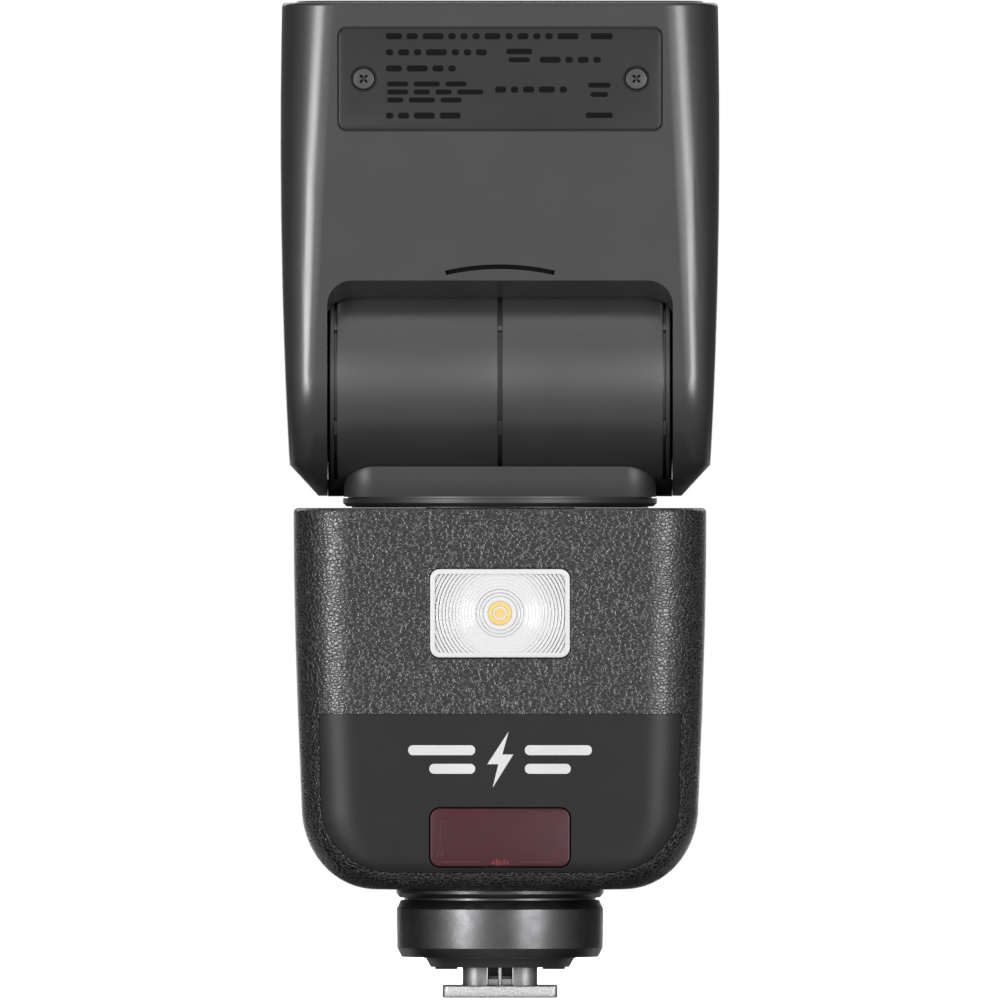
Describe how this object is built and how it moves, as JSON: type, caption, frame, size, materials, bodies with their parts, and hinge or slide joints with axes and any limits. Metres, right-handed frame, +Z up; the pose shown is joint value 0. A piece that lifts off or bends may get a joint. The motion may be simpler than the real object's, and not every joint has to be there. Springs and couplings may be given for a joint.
{
  "type": "speedlight flash",
  "caption": "Hot-shoe speedlight flash with a pan-and-tilt head, zooming flash window, modelling light, focus-assist window, rear screen and dial, and a lock ring over its metal foot.",
  "frame": {"origin": "centre of the shoe foot's underside, below the pan axis", "axes": "+Z up along the pan axis, towards the flash window when the head points up; -Y towards the subject; +X to the right of someone who looks at the front"},
  "size_m": [0.0708, 0.055, 0.161],
  "materials": {
    "satin_plastic": "satin charcoal moulding",
    "grained_plastic": "leather-grained charcoal moulding",
    "smooth_panel": "semi-gloss black",
    "anodised_metal": "satin black anodised",
    "foot_metal": "bead-blasted bright plate",
    "steel": "turned steel",
    "black_plastic": "fine matt black",
    "rubber": "soft black",
    "clear_lens": "clear acrylic with fine prisms",
    "red_window": "deep red filter",
    "white_plastic": "opaque white",
    "reflector_metal": "polished sheet",
    "led_phosphor": "yellow phosphor",
    "glass": "dark glass",
    "gold": "gold plate",
    "board": "green laminate",
    "battery_wrap": "dark shrink sleeve"
  },
  "bodies": {
    "control_body": {"shoe_foot": "foot_metal", "contact_block": "black_plastic", "shoe_contacts": "gold", "contact_riser": "black_plastic", "foot_spindle": "steel", "shoe_flange": "anodised_metal", "body_front_shell": "grained_plastic", "body_rear_shell": "grained_plastic", "front_panel": "smooth_panel", "modelling_lens": "clear_lens", "modelling_housing": "white_plastic", "modelling_led": "led_phosphor", "assist_window": "red_window", "assist_module": "board", "main_capacitor": "battery_wrap", "main_board": "board", "charge_board": "board", "usb_socket": "steel", "sync_jack": "gold", "display_glass": "glass", "display_module": "black_plastic"},
    "lock_ring": {"lock_ring": "anodised_metal"},
    "clamp": {"clamp_plate": "black_plastic", "clamp_pad_left": "rubber", "clamp_pad_right": "rubber"},
    "lock_pin": {"lock_pin": "steel"},
    "control_dial": {"control_dial": "black_plastic"},
    "set_button": {"set_button": "black_plastic"},
    "menu_button": {"menu_button": "black_plastic"},
    "mode_button": {"mode_button": "black_plastic"},
    "test_button": {"test_button": "black_plastic"},
    "power_switch": {"power_switch": "black_plastic"},
    "battery": {"battery_pack": "battery_wrap", "battery_cap": "grained_plastic"},
    "battery_release": {"battery_release": "black_plastic"},
    "port_cover": {"port_cover": "rubber"},
    "neck": {"swivel_base": "satin_plastic", "swivel_retainer": "steel", "neck_housing": "satin_plastic", "barrel_left": "satin_plastic", "barrel_right": "satin_plastic", "barrel_core": "black_plastic", "tilt_axle": "steel"},
    "head": {"head_front_shell": "satin_plastic", "head_rear_shell": "satin_plastic", "service_cover": "satin_plastic", "cover_screw_left": "steel", "cover_screw_right": "steel", "tilt_bush_left": "white_plastic", "tilt_bush_right": "white_plastic", "window_frame": "black_plastic", "fresnel_window": "clear_lens", "zoom_motor": "steel", "guide_rod": "steel"},
    "zoom_screw": {"zoom_screw": "steel"},
    "zoom_unit": {"zoom_carriage": "black_plastic", "reflector": "reflector_metal", "flash_tube": "glass"},
    "bounce_card": {"bounce_card": "white_plastic"},
    "wide_panel": {"wide_panel": "clear_lens"}
  },
  "joints": [
    {"name": "pan", "type": "hinge", "parent": "control_body", "child": "neck", "pos_m": [0, 0, 0.0791], "axis": [0, 0, 1], "range_deg": [-180, 150]},
    {"name": "tilt", "type": "hinge", "parent": "neck", "child": "head", "pos_m": [0, 0, 0.101], "axis": [1, 0, 0], "range_deg": [-30, 90]},
    {"name": "lock_turn", "type": "hinge", "parent": "control_body", "child": "lock_ring", "pos_m": [0, 0, 0.011], "axis": [0, 0, 1], "range_deg": [0, 60]},
    {"name": "clamp_travel", "type": "slide", "parent": "control_body", "child": "clamp", "axis": [0, 0, -1], "range_m": [0, 0.001]},
    {"name": "pin_travel", "type": "slide", "parent": "control_body", "child": "lock_pin", "axis": [0, 0, -1], "range_m": [0, 0.0015]},
    {"name": "dial_turn", "type": "hinge", "parent": "control_body", "child": "control_dial", "pos_m": [0, 0.026, 0.03], "axis": [0, 1, 0], "continuous": true},
    {"name": "set_press", "type": "slide", "parent": "control_body", "child": "set_button", "axis": [0, -1, 0], "range_m": [0, 0.0005], "stiffness_N_per_m": 400, "springref_m": -0.0004},
    {"name": "menu_press", "type": "slide", "parent": "control_body", "child": "menu_button", "axis": [0, -1, 0], "range_m": [0, 0.0006], "stiffness_N_per_m": 400, "springref_m": -0.0004},
    {"name": "mode_press", "type": "slide", "parent": "control_body", "child": "mode_button", "axis": [0, -1, 0], "range_m": [0, 0.0006], "stiffness_N_per_m": 400, "springref_m": -0.0004},
    {"name": "test_press", "type": "slide", "parent": "control_body", "child": "test_button", "axis": [0, -1, 0], "range_m": [0, 0.0006], "stiffness_N_per_m": 400, "springref_m": -0.0004},
    {"name": "power_slide", "type": "slide", "parent": "control_body", "child": "power_switch", "axis": [1, 0, 0], "range_m": [0, 0.004]},
    {"name": "battery_travel", "type": "slide", "parent": "control_body", "child": "battery", "axis": [-1, 0, 0], "range_m": [0, 0.053]},
    {"name": "release_press", "type": "slide", "parent": "control_body", "child": "battery_release", "axis": [1, 0, 0], "range_m": [0, 0.001], "stiffness_N_per_m": 400, "springref_m": -0.0004},
    {"name": "port_cover_hinge", "type": "hinge", "parent": "control_body", "child": "port_cover", "pos_m": [0.0328, 0.0102, 0.04], "axis": [0, 0, 1], "range_deg": [0, 100]},
    {"name": "zoom_travel", "type": "slide", "parent": "head", "child": "zoom_unit", "axis": [0, 0, 1], "range_m": [0, 0.016]},
    {"name": "zoom_screw_turn", "type": "hinge", "parent": "head", "child": "zoom_screw", "pos_m": [-0.0284, 0.006, 0.143], "axis": [0, 0, 1], "range_deg": [0, 2880]},
    {"name": "bounce_card_travel", "type": "slide", "parent": "head", "child": "bounce_card", "axis": [0, 0, 1], "range_m": [0, 0.03]},
    {"name": "wide_panel_travel", "type": "slide", "parent": "head", "child": "wide_panel", "axis": [0, 0, 1], "range_m": [0, 0.029]}
  ],
  "couplings": [
    {"joint": "clamp_travel", "follows": "lock_turn", "m_per_rad": 0.00095493},
    {"joint": "pin_travel", "follows": "lock_turn", "m_per_rad": 0.0014324},
    {"joint": "zoom_screw_turn", "follows": "zoom_travel", "rad_per_m": 3141.6}
  ]
}
